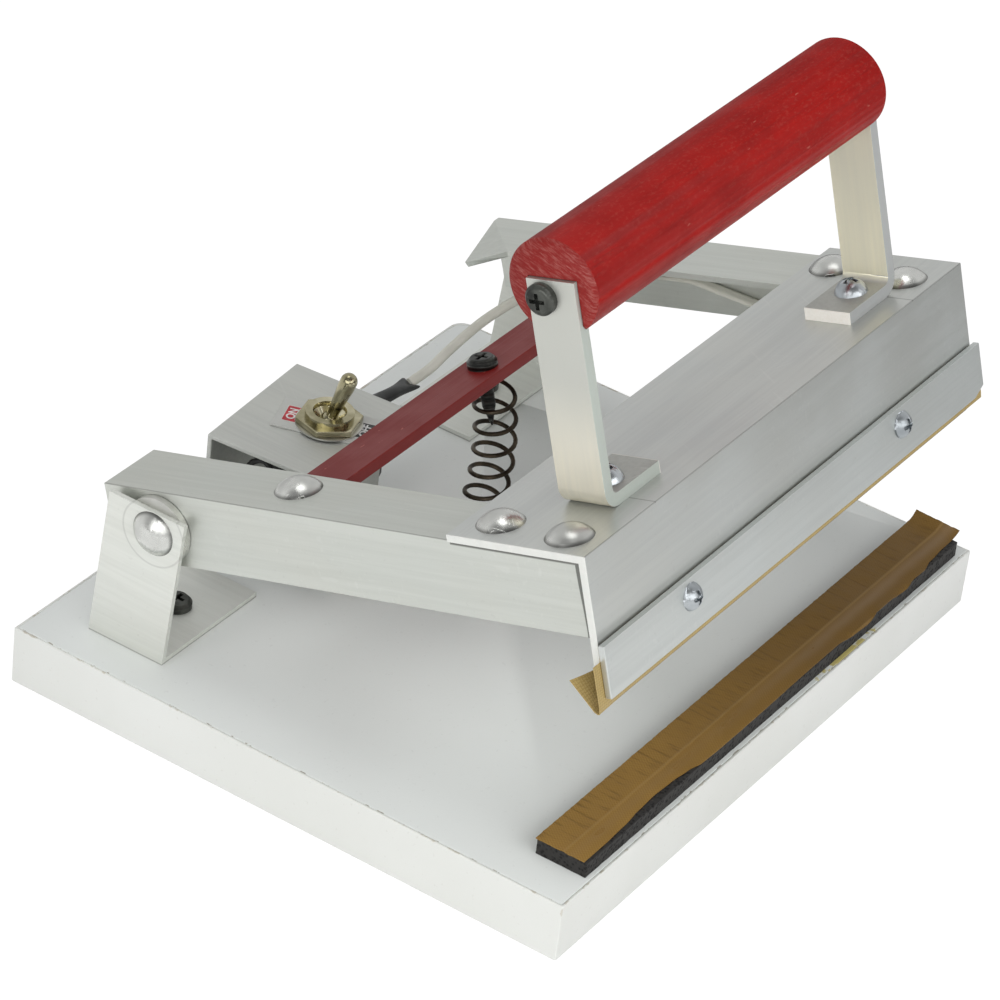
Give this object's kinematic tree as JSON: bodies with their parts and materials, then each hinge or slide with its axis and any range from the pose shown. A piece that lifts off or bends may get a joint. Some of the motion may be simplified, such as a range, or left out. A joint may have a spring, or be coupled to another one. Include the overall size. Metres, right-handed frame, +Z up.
{
  "type": "tabletop heat sealer",
  "caption": "Hand-pressed tabletop heat sealer: a hinged aluminium frame with a round handle presses a taped heating edge onto a foam pad on a white board, with a toggle switch behind.",
  "frame": {"origin": "middle of the board's underside", "axes": "+X along the sealing jaw to the right of a user in front, -Y towards that user, +Z up"},
  "size_m": [0.178, 0.15, 0.1489],
  "materials": {
    "board": "white melamine face",
    "banding": "satin edge strip",
    "frame_metal": "worn mill finish",
    "strap_metal": "worn mill finish",
    "housing_sheet": "worn mill finish",
    "rivet": "bright",
    "washer": "zinc plated",
    "black_screw": "black phosphate",
    "bright_screw": "zinc plated",
    "nickel": "nickel plated",
    "switch_plate": "printed",
    "switch_body": "moulded",
    "brass": "plain",
    "black_wire": "wire insulation",
    "black_tape": "wrapped tape",
    "black_rubber": "matte",
    "pale_lead": "wire insulation",
    "foam": "cut sponge rubber",
    "brown_tape": "coated glass cloth",
    "tan_tape": "coated glass cloth",
    "insulation": "coated glass cloth",
    "heating_band": "resistance band",
    "spring_wire": "oiled spring wire",
    "red_bar": "brushed-on red paint",
    "red_wood": "red paint on wood"
  },
  "bodies": {
    "base": {"baseboard": "board", "edge_banding": "banding", "left_hinge_bracket": "frame_metal", "right_hinge_bracket": "frame_metal", "bracket_screws": "black_screw", "left_pivot_rivet": "rivet", "right_pivot_rivet": "rivet", "pivot_washers": "washer", "switch_housing": "housing_sheet", "housing_screws": "black_screw", "toggle_body": "switch_body", "toggle_bushing": "nickel", "toggle_washer": "nickel", "toggle_nut": "nickel", "on_off_plate": "switch_plate", "switch_terminals": "brass", "switch_wires": "black_wire", "lead_sleeve": "black_tape", "inlet_grommet": "black_rubber", "heater_lead": "pale_lead", "foam_strip": "foam", "pad_tape": "brown_tape", "return_spring": "spring_wire", "spring_seat_screw": "black_screw"},
    "lever": {"toggle_lever": "nickel"},
    "jaw_frame": {"left_arm": "frame_metal", "right_arm": "frame_metal", "front_angle": "frame_metal", "frame_rivets": "rivet", "spring_bar": "red_bar", "spring_bar_rivets": "rivet", "spring_bar_screw": "black_screw", "left_handle_strap": "strap_metal", "right_handle_strap": "strap_metal", "strap_screws": "bright_screw", "strap_nuts": "bright_screw", "handle_grip": "red_wood", "handle_screws": "black_screw", "clamp_strip": "frame_metal", "clamp_screws": "bright_screw", "clamp_nuts": "bright_screw", "edge_insulation": "insulation", "heating_element": "heating_band", "element_tape": "tan_tape", "element_crimps": "brass", "arm_lead": "pale_lead", "element_wires": "pale_lead"}
  },
  "joints": [
    {"name": "arm_hinge", "type": "hinge", "parent": "base", "child": "jaw_frame", "pos_m": [0, 0.0463, 0.0489], "axis": [1, 0, 0], "range_deg": [0, 19.3], "stiffness_Nm_per_rad": 7.1, "springref_deg": -2.01, "deforming": ["return_spring", "heater_lead"]},
    {"name": "toggle_throw", "type": "hinge", "parent": "base", "child": "lever", "pos_m": [-0.00951, 0.04734, 0.0449], "axis": [-0.9455, -0.3256, 0], "range_deg": [0, 35]}
  ]
}
